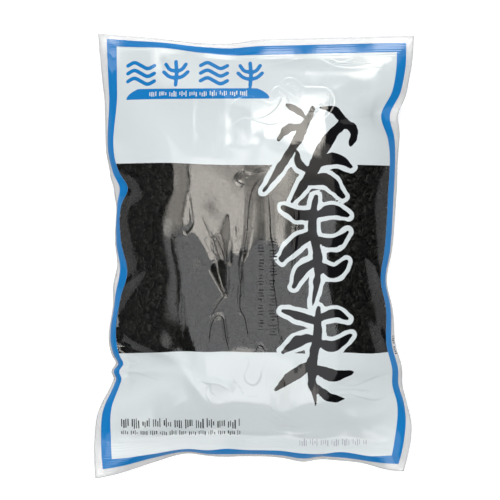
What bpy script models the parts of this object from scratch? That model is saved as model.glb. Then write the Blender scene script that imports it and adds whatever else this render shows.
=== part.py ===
"""A sealed, printed film pouch of dried cut wakame, lying on its back.

Metres, +Z up. The pouch's length runs along Y, with its printed front facing up, and the origin
is on the surface that it lies on, under the middle of the pouch. A point of either film is named
by u and v, its place across and along the film when that is cut and still flat.
"""
import math
import random

import bmesh
import bpy
import numpy as np

MM = 0.001

# The film, as cut
POUCH_WIDTH = 238 * MM
POUCH_LENGTH = 331 * MM
FILM = 0.5 * MM
SEAL_GAP = 0.3 * MM
SIDE_SEAL = 12 * MM
TOP_SEAL = 17 * MM
BOTTOM_SEAL = 25 * MM
END_FLAP = 14 * MM

# The filled pouch
CROWN_HEIGHT = 50 * MM
SEAM_HEIGHT = 13.5 * MM
END_SEAM_HEIGHT = 13 * MM
FLAP_LOWEST = 1.2 * MM
BACK_DEPTH = 24 * MM
ACROSS_FULLNESS = 0.62
ALONG_FULLNESS = 0.9
CONTENT_SHIFT = 0.08
SEAM_PULL_POWER = 4
FLAP_PULL_POWER = 3
LEAST_BEND = 0.01

# The seams turn level from their sides' height to their ends' height between these places along v
END_SEAM_START = 95 * MM
END_SEAM_FULL = 150 * MM

# The seals' waves: height, length and starting angle, and how fast each fades away from its seals
SIDE_WAVE = (0.8 * MM, 71 * MM, 1.0)
END_WAVE = (0.9 * MM, 43 * MM, 0.8)
SIDE_FADE_POWER = 4
END_FADE_POWER = 6

# The front film's settled waves: height, length over 2 pi and starting angle
SETTLED_HEIGHT = 0.9 * MM
SETTLED_ACROSS = (17 * MM, 0.7)
SETTLED_ALONG = (23 * MM, 1.9)
SLANT_HEIGHT = 0.6 * MM
SLANT_LENGTH = 13 * MM
SETTLED_RISE = 5

# Facets between the seals, the angle of a sharp edge, and the reach used to find a normal
INNER_COLUMNS = 16
INNER_ROWS = 32
SHARP_ANGLE = math.radians(50)
NORMAL_REACH = 0.1 * MM

# The wakame
FILM_CLEARANCE = 1.6 * MM
CORE_DEPTH = 5.5 * MM
CORE_SHARE = 0.3
CORE_SUBDIVISIONS = 5
CORE_SQUARENESS = 0.75
CORE_FLATNESS = 2.5
CORE_FLAKES = 420
CORE_FLAKE_TILT = 0.32
CORE_FLAKE_LIFT = 1.1 * MM
CORE_RELIEF = 2.6 * MM
FLAKE_THICKNESS = 0.8 * MM
FLAKE_LENGTH = (18 * MM, 29 * MM)
FLAKE_WIDTH = (7 * MM, 12 * MM)
FLAKE_SINK = 2.2 * MM
FLAKE_SEGMENTS = 3
FLAKE_SPACING = 20.5 * MM
FLAKE_STRAY = 0.25
FLAKE_CURL = 0.7
FLAKE_SWAY = 0.3
FLAKE_NARROWEST = 0.55
FLAKE_WIDEST = 1.1
ROOF_SEED = 3
FLOOR_SEED = 5
FLAKE_SEED = 7
HEAP_WIDTH = 206 * MM
HEAP_EDGE = 9 * MM
HEAP_TOP = 124 * MM
HEAP_BOTTOM = -132 * MM
HEAP_OUTLINE_POWER = 3.2

# Colour and roughness
FRONT_LOOK = ((0.82, 0.86, 0.88), 0.22)
BACK_LOOK = ((0.8, 0.83, 0.85), 0.25)
WAKAME_LOOK = ((0.022, 0.03, 0.02), 0.6)

# How far each side seal's inner edge is from the middle line once the pouch is filled, at each v, in mm
LEFT_SEAM = (
    (-165.5, 108.3), (-136, 110.5), (-113, 109.5), (-98, 103.5), (-93, 101.8), (-87, 103.8), (-82, 100.3),
    (-76, 103.2), (-34, 102.8), (-15, 97.3), (10, 102.4), (36, 101.8), (48, 96.8), (60, 103.8), (118, 105.3),
    (165.5, 106.2),
)
RIGHT_SEAM = (
    (-165.5, 100.5), (-140, 106), (-112, 107.8), (-98, 104), (-88, 104), (-70, 99.6), (-40, 98.8),
    (-20, 94.8), (4, 97.8), (40, 100.4), (86, 100.4), (104, 95.2), (122, 104), (136, 107), (165.5, 107.6),
)

# How steeply each side flap hangs at its inner and its outer edge, at each v, in degrees
LEFT_TILT = (
    (-165.5, 8, 15), (-132, 10, 52), (-105, 50, 70), (-70, 52, 80), (-36, 56, 84), (-17, 24, 66),
    (-8, 30, 84), (14, 64, 86), (36, 62, 86), (48, 16, 52), (62, 50, 76), (78, 54, 80), (120, 25, 55),
    (165.5, 0, 10),
)
RIGHT_TILT = (
    (-165.5, 10, 38), (-135, 10, 46), (-113, 44, 74), (-97, 52, 60), (-62, 56, 66), (-32, 54, 86),
    (-4, 42, 86), (40, 50, 72), (86, 42, 54), (104, 8, 4), (122, 20, 48), (165.5, 5, 28),
)

# How far each end flap's inner edge lies from where it was cut, and its tilts, at each u
TOP_FLAP = (
    (-119, 4.4, 34, 64), (-90, 3.2, 44, 62), (-66, 2.3, 50, 64), (-40, -1.2, 44, 62), (-20, -3, 34, 56),
    (0, -2.8, 18, 44), (45, -1.8, 14, 42), (119, -0.4, 10, 42),
)
BOTTOM_FLAP = (
    (-119, -3, 6, 14), (-98, -1.8, 40, 38), (-76, 1.4, 70, 50), (-52, 5, 68, 74), (-35, 4.2, 58, 76),
    (-22, 5.3, 44, 74), (-8, 4.2, 56, 74), (20, 3.4, 54, 72), (36, 1.4, 52, 66), (50, 1, 76, 62),
    (62, 2.6, 50, 68), (90, -0.6, 50, 66), (104, 0.2, 30, 46), (119, 0.8, 12, 32),
)

# Folds that start at the front film's edge and fade inwards: u, v of both ends, depth and half width, in mm
EDGE_FOLDS = (
    (-118, 48, -78, 38, 5.0, 8),
    (-118, -30, -72, -4, 4.2, 8),
    (-118, -88, -55, -96, 4.2, 10),
    (118, 109, 52, 99, 6.5, 11),
    (118, -30, 66, 18, 5.0, 9),
    (118, -78, 80, -42, 3.0, 8),
    (-86, -166, -70, -104, 2.6, 11),
    (-36, -166, -30, -118, 2.8, 10),
    (26, -166, 23, -110, 3.6, 9),
    (72, -166, 62, -112, 3.0, 10),
    (-78, 166, -64, 116, 2.4, 12),
    (-8, 166, 6, 118, 2.6, 12),
    (58, 166, 50, 122, 3.0, 12),
)

# Soft folds down the middle of the front film, which fade at both ends; a ridge is negative
MIDDLE_FOLDS = (
    (-40, 70, -30, -60, 1.4, 13),
    (8, 96, 14, -70, 1.2, 12),
    (46, 60, 38, -64, 1.1, 12),
    (-12, 60, -8, -96, -1.0, 11),
    (28, 70, 27, -84, -0.9, 10),
)


def bump(distance, half_width):
    """A smooth bump of height 1 that fades over about half_width."""
    return np.exp(-((distance / half_width) ** 2))


def rise(value, start, end):
    """0 before start, 1 after end, and a smooth step between them."""
    share = np.clip((value - start) / (end - start), 0, 1)
    return share * share * (3 - 2 * share)


def through(knots, at, column=1):
    """A smooth curve through the knots' values, read at each place in at."""
    knots = np.array(knots, dtype=float)
    places, values = knots[:, 0] * MM, knots[:, column]
    slopes = np.gradient(values, places)
    i = np.clip(np.searchsorted(places, at) - 1, 0, len(places) - 2)
    step = places[i + 1] - places[i]
    share = np.clip((at - places[i]) / step, 0, 1)
    rest = 1 - share
    start = rest**2 * (values[i] * (1 + 2 * share) + slopes[i] * step * share)
    return start + share**2 * (values[i + 1] * (3 - 2 * share) - slopes[i + 1] * step * rest)


def hang(reach, width, inner_tilt, outer_tilt):
    """How far out and how far down a hanging flap gets, at the given reach across it from its inner edge.

    Its slope turns evenly from inner_tilt to outer_tilt, so it hangs in an arc.
    """
    start, end = np.radians(inner_tilt), np.radians(outer_tilt)
    bend = (end - start) / width
    bend = np.where(np.abs(bend) < LEAST_BEND, LEAST_BEND, bend)
    reach = np.clip(reach, 0, width)
    here = start + bend * reach
    return (np.sin(here) - np.sin(start)) / bend, (np.cos(start) - np.cos(here)) / bend


def side_flap(u, v):
    """How far out and down the side flaps get at (u, v), from their inner edges."""
    reach = np.abs(u) - (POUCH_WIDTH / 2 - SIDE_SEAL)
    inner = np.where(u < 0, through(LEFT_TILT, v, 1), through(RIGHT_TILT, v, 1))
    outer = np.where(u < 0, through(LEFT_TILT, v, 2), through(RIGHT_TILT, v, 2))
    return hang(reach, SIDE_SEAL, inner, outer)


def end_flap(u, v):
    """How far out and down the end flaps get at (u, v), from their inner edges."""
    reach = np.abs(v) - (POUCH_LENGTH / 2 - END_FLAP)
    inner = np.where(v < 0, through(BOTTOM_FLAP, u, 2), through(TOP_FLAP, u, 2))
    outer = np.where(v < 0, through(BOTTOM_FLAP, u, 3), through(TOP_FLAP, u, 3))
    return hang(reach, END_FLAP, inner, outer)


def from_edge(near):
    """The share of its depth that an edge fold keeps at this share of its length."""
    return np.cos(near * math.pi / 2)


def both_ends(near):
    """The share of its depth that a middle fold keeps at this share of its length."""
    return np.sin(near * math.pi)


def fold_depth(u, v, folds, fade):
    """How far the folds lower the film at (u, v): each is a straight valley that fades along its length."""
    depth = np.zeros(np.broadcast(u, v).shape)
    for start_u, start_v, end_u, end_v, deep, half_width in folds:
        run_u, run_v = (end_u - start_u) * MM, (end_v - start_v) * MM
        along = ((u - start_u * MM) * run_u + (v - start_v * MM) * run_v) / (run_u**2 + run_v**2)
        near = np.clip(along, 0, 1)
        away = np.hypot(u - start_u * MM - near * run_u, v - start_v * MM - near * run_v)
        depth = depth + deep * MM * fade(near) * bump(away, half_width * MM)
    return depth


def plan(u, v):
    """Where the film's point (u, v) is on the XY plane once the pouch is filled."""
    half = POUCH_WIDTH / 2 - SIDE_SEAL
    across = np.clip(np.abs(u) / half, 0, 1)
    seam = np.where(u < 0, through(LEFT_SEAM, v), through(RIGHT_SEAM, v)) * MM
    x = np.abs(u) * (across < 1) + half * (across >= 1) - (half - seam) * across**SEAM_PULL_POWER
    x = np.sign(u) * (x + side_flap(u, v)[0])
    hinge = POUCH_LENGTH / 2 - END_FLAP
    along = np.clip(v / hinge, -1, 1)
    y = along * hinge + through(TOP_FLAP, u) * MM * ((1 + along) / 2) ** FLAP_PULL_POWER
    y = y + through(BOTTOM_FLAP, u) * MM * ((1 - along) / 2) ** FLAP_PULL_POWER
    return x, y + np.sign(v) * end_flap(u, v)[0]


def seam_height(u, v):
    """The height of the seams' middle plane, carried on across the whole pouch."""
    height = SEAM_HEIGHT + (END_SEAM_HEIGHT - SEAM_HEIGHT) * rise(np.abs(v), END_SEAM_START, END_SEAM_FULL)
    side = (np.abs(u) / (POUCH_WIDTH / 2)) ** SIDE_FADE_POWER
    high, long, turn = SIDE_WAVE
    height = height + side * high * np.sin(2 * math.pi * v / long + turn * np.sign(u))
    ends = (np.abs(v) / (POUCH_LENGTH / 2)) ** END_FADE_POWER
    high, long, turn = END_WAVE
    height = height + ends * high * np.sin(2 * math.pi * u / long + turn * np.sign(v))
    height = height - side_flap(u, v)[1] * (1 - ends) - end_flap(u, v)[1] * (1 - side)
    return np.maximum(height, FLAP_LOWEST)


def seam_surface(u, v):
    """The points of the seams' middle plane at (u, v), one row for each."""
    x, y = plan(u, v)
    return np.stack([x, y, seam_height(u, v)], axis=1)


def seam_normal(u, v):
    """The upward normal of the seams' middle plane, from points a little way off on each side."""
    along_u = seam_surface(u + NORMAL_REACH, v) - seam_surface(u - NORMAL_REACH, v)
    along_v = seam_surface(u, v + NORMAL_REACH) - seam_surface(u, v - NORMAL_REACH)
    normal = np.cross(along_u, along_v)
    return normal / np.linalg.norm(normal, axis=1, keepdims=True)


def fullness(u, v):
    """How much of its full bulge the pouch has at (u, v): 0 at the seals and 1 at its middle."""
    half = POUCH_WIDTH / 2 - SIDE_SEAL
    across = np.clip(u / half, -1, 1)
    low, high = -POUCH_LENGTH / 2 + BOTTOM_SEAL, POUCH_LENGTH / 2 - TOP_SEAL
    along = np.clip((2 * v - low - high) / (high - low), -1, 1)
    along = along + CONTENT_SHIFT * (1 - along**2)
    return (
        (1 - across**2)
        * (1 + ACROSS_FULLNESS * across**2)
        * (1 - along**2)
        * (1 + ALONG_FULLNESS * along**2)
    )


def front_bulge(u, v):
    """How far the front film's inner side is above the seams' middle plane, apart from the seal gap."""
    full = fullness(u, v)
    across = np.sin(u / SETTLED_ACROSS[0] + SETTLED_ACROSS[1])
    along = np.sin(v / SETTLED_ALONG[0] + SETTLED_ALONG[1])
    settled = SETTLED_HEIGHT * across * along + SLANT_HEIGHT * np.sin((u + v) / SLANT_LENGTH)
    folds = fold_depth(u, v, EDGE_FOLDS, from_edge) + fold_depth(u, v, MIDDLE_FOLDS, both_ends)
    bulge = (CROWN_HEIGHT - FILM - SEAM_HEIGHT) * full
    return np.maximum(bulge + (settled - folds) * np.clip(full * SETTLED_RISE, 0, 1), 0)


def back_bulge(u, v):
    """How far the back film's inner side is below that plane: the contents press it flat underneath."""
    room = seam_height(u, v) - SEAL_GAP / 2 - FILM
    return np.minimum(BACK_DEPTH * fullness(u, v), room)


def front_height(u, v):
    """The height of the front film's inner side between the seals."""
    return seam_height(u, v) + SEAL_GAP / 2 + front_bulge(u, v)


def back_height(u, v):
    """The height of the back film's inner side between the seals."""
    return seam_height(u, v) - SEAL_GAP / 2 - back_bulge(u, v)


def grid_lines(length, low_seal, high_seal, inner):
    """Where the film is divided: at its edges, along each seal's inner edge, and evenly between those."""
    start, end = -length / 2, length / 2
    low, high = start + low_seal, end - high_seal
    between = np.linspace(low, high, inner + 1)
    return np.concatenate([[start, (start + low) / 2], between, [(high + end) / 2, end]])


def film(name, bulge, side, look):
    """One film: a grid over the flat film, moved to its place and given a thickness outwards.

    The grid is the film's inner side. side is 1 for the front film and -1 for the back film.
    """
    columns = grid_lines(POUCH_WIDTH, SIDE_SEAL, SIDE_SEAL, INNER_COLUMNS)
    rows = grid_lines(POUCH_LENGTH, BOTTOM_SEAL, TOP_SEAL, INNER_ROWS)
    shape = bmesh.new()
    bmesh.ops.create_grid(shape, x_segments=len(columns) - 1, y_segments=len(rows) - 1, size=1.0)
    corners = np.array([point.co for point in shape.verts])
    u = columns[np.rint((corners[:, 0] + 1) / 2 * (len(columns) - 1)).astype(int)]
    v = rows[np.rint((corners[:, 1] + 1) / 2 * (len(rows) - 1)).astype(int)]
    places = seam_surface(u, v) + seam_normal(u, v) * side * SEAL_GAP / 2
    places[:, 2] += side * bulge(u, v)
    for point, place in zip(shape.verts, places):
        point.co = place
    mesh = bpy.data.meshes.new(name)
    shape.to_mesh(mesh)
    shape.free()
    made = bpy.data.objects.new(name, mesh)
    bpy.context.scene.collection.objects.link(made)
    wall = made.modifiers.new("wall", "SOLIDIFY")
    wall.thickness = FILM
    wall.offset = side
    paint(made, name, look)
    smooth(made)
    return made


def paint(made, name, look):
    """Gives an object its own Principled material."""
    colour, roughness = look
    material = bpy.data.materials.new(name)
    material.use_nodes = True
    shader = material.node_tree.nodes["Principled BSDF"]
    shader.inputs["Base Color"].default_value = (*colour, 1)
    shader.inputs["Roughness"].default_value = roughness
    shader.inputs["Metallic"].default_value = 0
    made.data.materials.clear()
    made.data.materials.append(material)


def smooth(made):
    """Shades an object smooth, apart from its sharp edges."""
    made.data.shade_smooth()
    made.data.set_sharp_from_angle(angle=SHARP_ANGLE)


def core():
    """The packed middle of the heap: a ball spread out to fill the pouch, with a lumpy surface."""
    shape = bmesh.new()
    bmesh.ops.create_icosphere(shape, subdivisions=CORE_SUBDIVISIONS, radius=1.0)
    ball = np.array([point.co for point in shape.verts])
    reach = np.hypot(ball[:, 0], ball[:, 1])
    widest = np.maximum(np.abs(ball[:, 0]), np.abs(ball[:, 1]))
    spread = np.where(widest > 0, reach / np.where(widest > 0, widest, 1), 1) ** CORE_SQUARENESS
    u = ball[:, 0] * spread * HEAP_WIDTH / 2
    v = ball[:, 1] * spread * (HEAP_TOP - HEAP_BOTTOM) / 2 + (HEAP_TOP + HEAP_BOTTOM) / 2
    high, low = core_roof(u, v), core_floor(u, v)
    depth = np.sign(ball[:, 2]) * (1 - (1 - np.abs(ball[:, 2])) ** CORE_FLATNESS)
    x, y = plan(u, v)
    for point, *place in zip(shape.verts, x, y, low + (high - low) * (depth + 1) / 2):
        point.co = place
    mesh = bpy.data.meshes.new("wakame")
    shape.to_mesh(mesh)
    shape.free()
    made = bpy.data.objects.new("wakame", mesh)
    bpy.context.scene.collection.objects.link(made)
    return made


def core_relief(u, v, seed):
    """The relief of the packed flakes: each point lies on the tilted face of the flake nearest to it."""
    draw = np.random.default_rng(seed)
    middle_u = draw.uniform(-HEAP_WIDTH / 2, HEAP_WIDTH / 2, CORE_FLAKES)
    middle_v = draw.uniform(HEAP_BOTTOM, HEAP_TOP, CORE_FLAKES)
    slope_u, slope_v = draw.uniform(-CORE_FLAKE_TILT, CORE_FLAKE_TILT, (2, CORE_FLAKES))
    lift = draw.uniform(-CORE_FLAKE_LIFT, CORE_FLAKE_LIFT, CORE_FLAKES)
    off_u, off_v = u[..., None] - middle_u, v[..., None] - middle_v
    nearest = np.argmin(off_u**2 + off_v**2, axis=-1)[..., None]
    off_u = np.take_along_axis(off_u, nearest, -1)[..., 0]
    off_v = np.take_along_axis(off_v, nearest, -1)[..., 0]
    nearest = nearest[..., 0]
    relief = slope_u[nearest] * off_u + slope_v[nearest] * off_v + lift[nearest]
    return np.clip(relief, -CORE_RELIEF, CORE_RELIEF)


def flake_bed(u, v):
    """How deep the flakes lie between the packed middle and either film."""
    room = front_height(u, v) - back_height(u, v)
    return np.minimum(CORE_DEPTH, CORE_SHARE * room)


def core_roof(u, v):
    """The top of the packed middle, below the flakes that lie against the front film."""
    bed = flake_bed(u, v)
    return front_height(u, v) - bed + core_relief(u, v, ROOF_SEED) * bed / CORE_DEPTH


def core_floor(u, v):
    """The underside of the packed middle, above the flakes that lie on the back film."""
    bed = flake_bed(u, v)
    return back_height(u, v) + bed + core_relief(u, v, FLOOR_SEED) * bed / CORE_DEPTH


def flake(centre_u, centre_v, draw):
    """One curled flake: a strip whose ends are sunk in the core and whose middle arches clear of it."""
    length, width = draw.uniform(*FLAKE_LENGTH), draw.uniform(*FLAKE_WIDTH)
    turn, curl = draw.uniform(0, math.pi), draw.uniform(-FLAKE_CURL, FLAKE_CURL)
    along = np.linspace(-0.5, 0.5, FLAKE_SEGMENTS + 1)
    heading = turn + curl * along
    half = width / 2 * np.array([draw.uniform(FLAKE_NARROWEST, FLAKE_WIDEST) for _ in along])
    sway = np.array([draw.uniform(-FLAKE_SWAY, FLAKE_SWAY) for _ in along])
    arch = np.cos(along * math.pi)
    edges = []
    for side in (-1, 1):
        u = centre_u + along * length * np.cos(heading) - side * half * np.sin(heading)
        v = centre_v + along * length * np.sin(heading) + side * half * np.cos(heading)
        x, y = plan(u, v)
        rooted, highest = core_roof(u, v) - FLAKE_SINK, front_height(u, v) - FILM_CLEARANCE
        top = rooted + (highest - rooted) * np.clip(arch + side * sway * arch, 0, 1)
        edges.append(np.stack([x, y, top], axis=1))
        edges.append(np.stack([x, y, top - FLAKE_THICKNESS], axis=1))
    return strip_mesh(*edges)


def strip_mesh(top_a, low_a, top_b, low_b):
    """The closed mesh of a strip from its four long edges, its wide faces split into triangles alike."""
    shape = bmesh.new()
    top_a, low_a, top_b, low_b = [[shape.verts.new(p) for p in line] for line in (top_a, low_a, top_b, low_b)]
    for i in range(FLAKE_SEGMENTS):
        j = i + 1
        for a, b in ((top_a, top_b), (low_a, low_b)):
            shape.faces.new((a[i], a[j], b[i]))
            shape.faces.new((a[j], b[j], b[i]))
        for a, b in ((top_a, low_a), (top_b, low_b)):
            shape.faces.new((a[i], a[j], b[j], b[i]))
    for i in (0, FLAKE_SEGMENTS):
        shape.faces.new((top_a[i], top_b[i], low_b[i], low_a[i]))
    bmesh.ops.recalc_face_normals(shape, faces=shape.faces)
    mesh = bpy.data.meshes.new("flake")
    shape.to_mesh(mesh)
    shape.free()
    return mesh


def flake_places(draw):
    """Places for the flakes: rows of points, every other row shifted, each a little out of line."""
    middle_v, half_v = (HEAP_TOP + HEAP_BOTTOM) / 2, (HEAP_TOP - HEAP_BOTTOM) / 2
    for row in range(int(2 * half_v / FLAKE_SPACING) + 1):
        for column in range(int(HEAP_WIDTH / FLAKE_SPACING) + 1):
            stray_u = draw.uniform(-FLAKE_STRAY, FLAKE_STRAY)
            stray_v = draw.uniform(-FLAKE_STRAY, FLAKE_STRAY)
            u = -HEAP_WIDTH / 2 + (column + 0.5 * (row % 2) + stray_u) * FLAKE_SPACING
            v = HEAP_BOTTOM + (row + stray_v) * FLAKE_SPACING
            across, along = abs(u) / (HEAP_WIDTH / 2 - HEAP_EDGE), abs(v - middle_v) / (half_v - HEAP_EDGE)
            if across**HEAP_OUTLINE_POWER + along**HEAP_OUTLINE_POWER < 1:
                yield u, v


def wakame():
    """The dried cut wakame: a packed core with flakes standing out of it, joined into one body."""
    draw = random.Random(FLAKE_SEED)
    heap = core()
    loose = bpy.data.collections.new("flakes")
    bpy.context.scene.collection.children.link(loose)
    for u, v in flake_places(draw):
        loose.objects.link(bpy.data.objects.new("flake", flake(u, v, draw)))
    join = heap.modifiers.new("flakes", "BOOLEAN")
    join.operation = "UNION"
    join.operand_type = "COLLECTION"
    join.collection = loose
    join.solver = "MANIFOLD"
    bpy.context.view_layer.update()
    joined = bpy.data.meshes.new_from_object(heap.evaluated_get(bpy.context.evaluated_depsgraph_get()))
    heap.modifiers.clear()
    heap.data = joined
    for piece in list(loose.objects):
        bpy.data.objects.remove(piece)
    bpy.data.collections.remove(loose)
    paint(heap, "wakame", WAKAME_LOOK)
    smooth(heap)
    return heap


def centre(pieces):
    """Moves all the pieces alike, so that together they stand centred over the origin."""
    bpy.context.view_layer.update()
    graph = bpy.context.evaluated_depsgraph_get()
    corners = np.array([corner[:] for piece in pieces for corner in piece.evaluated_get(graph).bound_box])
    low, high = corners.min(axis=0), corners.max(axis=0)
    for piece in pieces:
        piece.location = (-(low[0] + high[0]) / 2, -(low[1] + high[1]) / 2, -low[2])


def build():
    """The pouch's two films and what they hold."""
    for old in list(bpy.data.objects):
        bpy.data.objects.remove(old)
    front = film("front_film", front_bulge, 1, FRONT_LOOK)
    back = film("back_film", back_bulge, -1, BACK_LOOK)
    centre([front, back, wakame()])


build()
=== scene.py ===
"""The looks of a sealed, printed film pouch of dried cut wakame that lies on its back.

A point of either film is named by u and v, its place in metres across and along the film when that
is cut and still flat. The same formulas as in the solids turn it into a place in the filled pouch.
"""
import math

import bmesh
import bpy
import numpy as np
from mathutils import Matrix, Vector


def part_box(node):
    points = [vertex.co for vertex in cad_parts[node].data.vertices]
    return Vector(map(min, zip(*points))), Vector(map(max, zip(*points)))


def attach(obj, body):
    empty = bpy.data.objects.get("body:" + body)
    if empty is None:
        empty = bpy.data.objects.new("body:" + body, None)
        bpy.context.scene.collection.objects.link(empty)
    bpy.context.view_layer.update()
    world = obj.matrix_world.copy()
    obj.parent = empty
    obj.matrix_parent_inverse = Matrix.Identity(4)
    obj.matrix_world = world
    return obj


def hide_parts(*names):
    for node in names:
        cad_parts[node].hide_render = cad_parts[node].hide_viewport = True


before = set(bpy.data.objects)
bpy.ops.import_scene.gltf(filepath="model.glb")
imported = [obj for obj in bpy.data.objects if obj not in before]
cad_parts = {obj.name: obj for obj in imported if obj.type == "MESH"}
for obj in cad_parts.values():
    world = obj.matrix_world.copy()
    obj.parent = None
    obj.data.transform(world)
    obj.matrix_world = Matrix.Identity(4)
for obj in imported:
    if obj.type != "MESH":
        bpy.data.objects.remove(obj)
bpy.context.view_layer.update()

MM = 0.001

# The film, as cut
POUCH_WIDTH = 238 * MM
POUCH_LENGTH = 331 * MM
FILM = 0.12 * MM
SEAL_GAP = 0.1 * MM
SIDE_SEAL = 12 * MM
TOP_SEAL = 17 * MM
BOTTOM_SEAL = 25 * MM
END_FLAP = 14 * MM

# The filled pouch
CROWN_HEIGHT = 49.6 * MM
SEAM_HEIGHT = 13.5 * MM
END_SEAM_HEIGHT = 13 * MM
FLAP_LOWEST = 1.2 * MM
BACK_DEPTH = 24 * MM
BACK_REST = 0.2 * MM
ACROSS_FULLNESS = 0.62
ALONG_FULLNESS = 0.9
CONTENT_SHIFT = 0.08
SEAM_PULL_POWER = 4
FLAP_PULL_POWER = 3
LEAST_BEND = 0.01

# The seams turn level from their sides' height to their ends' height between these places along v
END_SEAM_START = 95 * MM
END_SEAM_FULL = 150 * MM

# The waves of the side seams and the end seams: height, length, and turn from one side to the other
SIDE_WAVE = (0.8 * MM, 71 * MM, 1.0)
END_WAVE = (0.9 * MM, 43 * MM, 0.8)
SIDE_FADE_POWER = 4
END_FADE_POWER = 6

# How unevenly the contents have settled, away from a smooth middle at EVEN_PLACE
SETTLED_HEIGHT = 0.9 * MM
SETTLED_ACROSS = (17 * MM, 0.7)
SETTLED_ALONG = (23 * MM, 1.9)
SLANT_HEIGHT = 0.6 * MM
SLANT_LENGTH = 13 * MM
SETTLED_RISE = 5
EVEN_PLACE = -5 * MM
EVEN_WIDTH = 60 * MM
EVEN_LENGTH = 85 * MM

# The film's small wrinkles: ribs, rumples as (height, cell, seed), and how much stronger both grow above
# and below the window and over what reach
RIB_HEIGHT = 0.05 * MM
RIB_CELL = 14 * MM
RIB_STRETCH = 0.3
RIB_SEED = 12
RUMPLES = ((0.045 * MM, 13 * MM, 13), (0.02 * MM, 6 * MM, 14))
CRUMPLED_ABOVE = (3.8, 20 * MM)
CRUMPLED_BELOW = (3.0, 21 * MM)

# The spacing of the front film's fine lines and the places between which they run, and the films' others
FINE_ACROSS = (1.0 * MM, -100 * MM, 44 * MM)
FINE_ALONG = (1.2 * MM, -78 * MM, 150 * MM)
COARSE = 2.0 * MM
BACK_COLUMNS = 120
BACK_ROWS = 166

# The wakame: its packed middle, with lumps as (share, cell, seed), and the flakes under the window, in layers
# as (seed, greatest depth)
HEAP_WIDTH = 210 * MM
HEAP_TOP = 124 * MM
HEAP_BOTTOM = -132 * MM
HEAP_SQUARENESS = 0.75
HEAP_RINGS = 61
HEAP_STEPS = 180
HEAP_LUMPS = ((1.0, 6 * MM, 21), (0.6, 3 * MM, 22))
HEAP_LUMPINESS = 0.35
HEAP_CLEARANCE = 1.2 * MM
HEAP_CLOSING = 0.93
CORE_DEPTH = 4.5 * MM
CORE_SHARE = 0.3
FILM_CLEARANCE = 0.5 * MM
FLAKE_LAYERS = ((41, 4.2 * MM), (42, 3.0 * MM))
FLAKE_COUNT = 2600
FLAKE_LEAST_DEPTH = 1.0 * MM
FLAKE_SPREAD = (-106 * MM, 106 * MM, -84 * MM, 76 * MM)
FLAKE_LENGTH = (7 * MM, 15 * MM)
FLAKE_WIDTH = (2.4 * MM, 6 * MM)
FLAKE_THICKNESS = 0.22 * MM
FLAKE_BEND = 1.3
FLAKE_TWIST = 1.2
FLAKE_CURL = (-0.3, 0.75)
FLAKE_TILT = 0.5
FLAKE_RAGGEDNESS = (0.7, 1.15)
FLAKE_BLUNTNESS = 0.06
FLAKE_CUP = 0.35
FLAKE_FLATNESS = 0.6
FLAKE_PRESS = 0.3 * MM
FLAKE_STATIONS = 5
FLAKE_SECTION = ((-1, 0.6), (0, 1), (1, 0.6), (1, -0.6), (0, -1), (-1, -0.6))

# The print, as distances from the film's edge and places along v
MARGIN = 6.3 * MM
BLUE_LINE = 7.5 * MM
WINDOW_TOP = 66 * MM
WINDOW_BOTTOM = -74 * MM
MOTIF_OUTLINE = 3.2 * MM
EDGE_SOFTNESS = 0.12

# Rows of printed ticks: their low and high ends and low and high sides in mm, their pitch in mm, a seed, and
# the least width of a tick as a share of the pitch
LARGE_MARKS = ((-100.5, -11, -131.0, -122.6), 1.6, 5, 0.35)
SMALL_MARKS = ((-100.5, -11, -136.2, -132.0), 1.45, 19, 0.3)
BAND_MARKS = ((-79, -6, 116.4, 121), 1.5, 31, 0.4)
SEAL_MARKS = ((33, 84, -144.5, -138.5), 1.6, 41, 0.3)
EDGE_MARKS = ((-76, -61, 114, 117.5), 1.6, 7, 0.4)
UPRIGHT_MARKS = (((-56, 11, 1.5, 6.5), 2.2, 63, 0.3), ((-60, 11, 9.5, 16.0), 2.2, 87, 0.3))
UPRIGHT_STRENGTH = 0.55

# The finishes
WHITE_INK = (0.70, 0.757, 0.772, 1)
BLUE_INK = (0.011, 0.20, 0.53, 1)
BLACK_INK = (0.005, 0.005, 0.006, 1)
FAINT_INK = (0.42, 0.44, 0.5, 1)
MARGIN_HAZE = (0.86, 0.87, 0.87, 1)
HAZE_SHARE = 0.4
CLEAR_TINT = (0.985, 0.985, 0.985, 1)
FILM_GLOSS = 0.045
FILM_ROUGHNESS = 0.06
CRIMP_PITCH = 1.9
CRIMP_HEIGHT = 0.03
STREAK_STRETCH = 0.15
FLOOR_COLOUR = (0.8, 0.8, 0.8, 1)
FLOOR_GLOW = 0.4
FLAKE_COLOURS = ((0.0012, 0.0015, 0.0016, 1), (0.011, 0.013, 0.008, 1))
HEAP_COLOURS = ((0.001, 0.0012, 0.0012, 1), (0.005, 0.006, 0.004, 1))

# The finishes' noises: scale and detail, and for the film its height in mm
DENTS = (0.45, 3.0, 0.04)
STREAKS = (0.3, 2.0, 0.06)
GRAIN = (900.0, 4.0)
PATCHES = (160.0, 2.0)

# The picture: the size of a pixel at the seams, and where the middle of the view is, in pixels
PIXEL = 0.75 * MM
PICTURE = 500
VIEW_MIDDLE = (-5.5, 3.5)
CAMERA_HEIGHT = 1.5
SENSOR = 36
FLOOR_SIZE = 6.0
FLOOR_DROP = 0.2 * MM
ROOM_LIGHT = ((0.95, 0.97, 1.0, 1), 0.02)

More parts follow.
